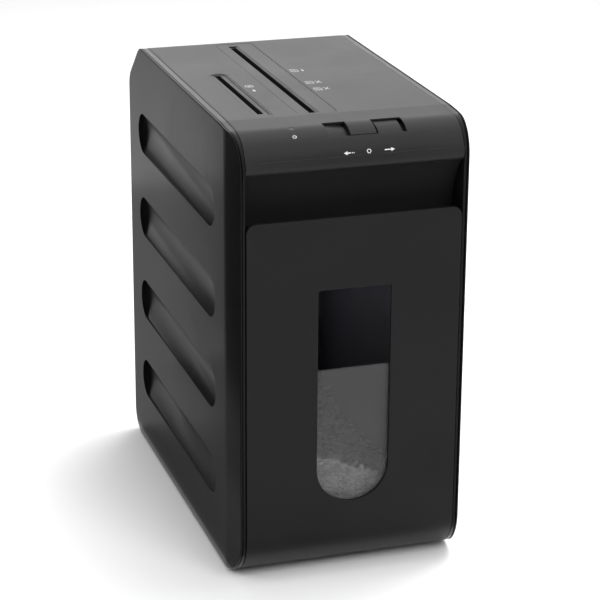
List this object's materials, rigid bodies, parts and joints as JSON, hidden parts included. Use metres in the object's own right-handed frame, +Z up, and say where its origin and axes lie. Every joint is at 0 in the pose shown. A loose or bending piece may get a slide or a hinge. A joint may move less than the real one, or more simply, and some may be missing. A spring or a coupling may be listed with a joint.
{
  "type": "paper shredder",
  "caption": "Desk-side paper and disc shredder with top feed slots, a slide switch on the curved front and a pull-out bin with a window.",
  "frame": {"origin": "centre of the footprint on the floor, under the rubber feet", "axes": "+Z up, -Y towards the user (the bin front), +X to the right seen from the front"},
  "size_m": [0.1918, 0.3444, 0.3747],
  "materials": {
    "bronze": "sintered bronze",
    "copper": "windings",
    "gear_nylon": "natural nylon",
    "hardened_steel": "ground, oiled",
    "led_green": "diffused lens",
    "motor_steel": "dull grey",
    "parts_dark": "mixed",
    "pcb": "green solder mask",
    "rubber": "matt",
    "satin_black_abs": "satin moulded black",
    "sintered_steel": "sintered, greased",
    "smoke_clear": "smoke tinted clear plastic",
    "top_black_abs": "fine textured black",
    "tub_grey": "dark grey moulded",
    "white_nylon": "natural",
    "zinc_steel": "zinc plated"
  },
  "bodies": {
    "housing": {"base_plate": "satin_black_abs", "bin_rails": "satin_black_abs", "board_components": "parts_dark", "board_supports": "white_nylon", "cable_gland": "rubber", "cd_slot_bezel": "top_black_abs", "control_board": "pcb", "cutter_bushes": "bronze", "feed_throat": "parts_dark", "foot_screws": "zinc_steel", "front_cutter_plate": "zinc_steel", "gear_pins": "zinc_steel", "gearbox_plate": "zinc_steel", "gearbox_posts": "zinc_steel", "grip_recess_panel": "satin_black_abs", "head_chassis": "zinc_steel", "interlock_bracket": "zinc_steel", "interlock_switch": "parts_dark", "led_lens": "led_green", "left_scraper_comb": "parts_dark", "left_side_frame": "satin_black_abs", "left_side_panel": "satin_black_abs", "mode_switch_body": "parts_dark", "mode_switch_bracket": "zinc_steel", "motor_can": "motor_steel", "motor_end_cap": "parts_dark", "motor_screws": "zinc_steel", "paper_slot_plate": "top_black_abs", "rear_cover": "satin_black_abs", "rear_cover_screws": "zinc_steel", "rear_cutter_plate": "zinc_steel", "right_scraper_comb": "parts_dark", "right_side_frame": "satin_black_abs", "right_side_panel": "satin_black_abs", "rubber_feet": "rubber", "sensor_pin": "zinc_steel", "tie_rods_and_nuts": "zinc_steel", "top_cover": "top_black_abs"},
    "bin": {"bin_tub": "tub_grey", "bin_front": "satin_black_abs", "bin_window": "smoke_clear", "bin_front_screws": "zinc_steel", "interlock_tab": "satin_black_abs"},
    "left_cutter": {"left_cutter_discs": "hardened_steel", "left_cutter_spacers": "zinc_steel", "left_cutter_shaft": "hardened_steel", "left_cutter_gear": "sintered_steel"},
    "right_cutter": {"right_cutter_discs": "hardened_steel", "right_cutter_spacers": "zinc_steel", "right_cutter_shaft": "hardened_steel", "right_cutter_gear": "sintered_steel"},
    "second_gear": {"second_reduction_gear": "sintered_steel"},
    "first_gear": {"first_reduction_gear": "gear_nylon"},
    "rotor": {"motor_shaft": "hardened_steel", "motor_rotor": "copper", "motor_pinion": "hardened_steel"},
    "mode_switch": {"mode_switch_cap": "satin_black_abs"},
    "sensor": {"paper_sensor_lever": "satin_black_abs"},
    "plunger": {"interlock_plunger": "white_nylon"}
  },
  "joints": [
    {"name": "bin_slide", "type": "slide", "parent": "housing", "child": "bin", "axis": [0, -1, 0], "range_m": [0, 0.35]},
    {"name": "mode_switch_slide", "type": "slide", "parent": "housing", "child": "mode_switch", "axis": [1, 0, 0], "range_m": [-0.016, 0.017]},
    {"name": "right_cutter_spin", "type": "hinge", "parent": "housing", "child": "right_cutter", "pos_m": [-0.018, 0, 0.318], "axis": [0, 1, 0], "continuous": true},
    {"name": "left_cutter_spin", "type": "hinge", "parent": "housing", "child": "left_cutter", "pos_m": [-0.058, 0, 0.318], "axis": [0, 1, 0], "continuous": true},
    {"name": "second_gear_spin", "type": "hinge", "parent": "housing", "child": "second_gear", "pos_m": [-0.00361, 0, 0.34658], "axis": [0, 1, 0], "continuous": true},
    {"name": "first_gear_spin", "type": "hinge", "parent": "housing", "child": "first_gear", "pos_m": [0.02099, 0, 0.33429], "axis": [0, 1, 0], "continuous": true},
    {"name": "rotor_spin", "type": "hinge", "parent": "housing", "child": "rotor", "pos_m": [0.052, 0, 0.323], "axis": [0, 1, 0], "continuous": true},
    {"name": "paper_sensor_tilt", "type": "hinge", "parent": "housing", "child": "sensor", "pos_m": [-0.008, 0.021, 0.354], "axis": [0, 1, 0], "range_deg": [-18, 0], "stiffness_Nm_per_rad": 0.002, "springref_deg": 17.19},
    {"name": "interlock_press", "type": "slide", "parent": "housing", "child": "plunger", "axis": [0, 1, 0], "range_m": [0, 0.0025], "stiffness_N_per_m": 300, "springref_m": -0.001}
  ],
  "couplings": [
    {"joint": "left_cutter_spin", "follows": "right_cutter_spin", "ratio": -1},
    {"joint": "second_gear_spin", "follows": "right_cutter_spin", "ratio": -1.6667},
    {"joint": "first_gear_spin", "follows": "right_cutter_spin", "ratio": 4.4444},
    {"joint": "rotor_spin", "follows": "right_cutter_spin", "ratio": -24.889}
  ]
}
